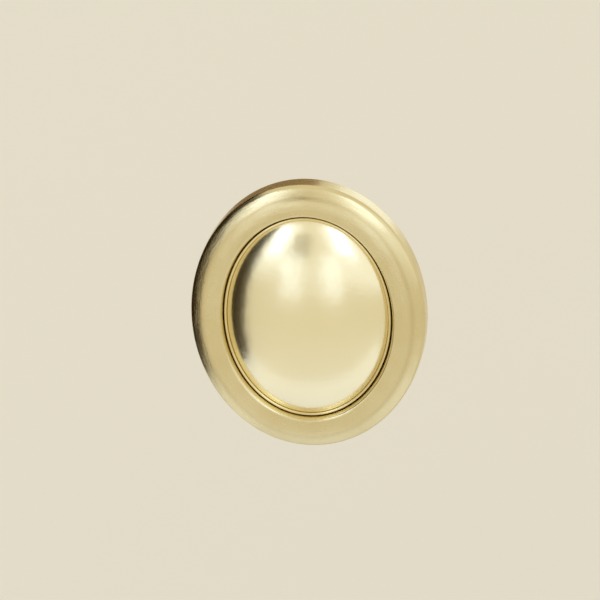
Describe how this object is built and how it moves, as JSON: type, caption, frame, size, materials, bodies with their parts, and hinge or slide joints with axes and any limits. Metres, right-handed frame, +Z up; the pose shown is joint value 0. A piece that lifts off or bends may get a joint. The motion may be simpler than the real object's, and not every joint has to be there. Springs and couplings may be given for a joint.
{
  "type": "pearl stud earring",
  "caption": "Large oval stud earring: a domed pearl cabochon in a wide moulded satin gold frame, with a straight post behind.",
  "frame": {"origin": "where the post goes into the front of the earlobe, on the post's axis in the plane of the frame's back edge", "axes": "+Y along the post, away from the face, which looks along -Y; +Z up along the oval's long axis; +X to the right as the face is seen from in front"},
  "size_m": [0.0474, 0.0191, 0.0563],
  "materials": {
    "satin_gold": "pale gold plate, fine satin grain round the oval, softly worn",
    "polished_gold": "yellower gold plate, polished",
    "pearl": "cream pearl lacquer, nacreous gloss",
    "post_metal": "plain gold plate"
  },
  "bodies": {
    "root": {"frame": "satin_gold", "bezel_cup": "polished_gold", "pearl_cabochon": "pearl", "ear_post": "post_metal"}
  },
  "joints": []
}
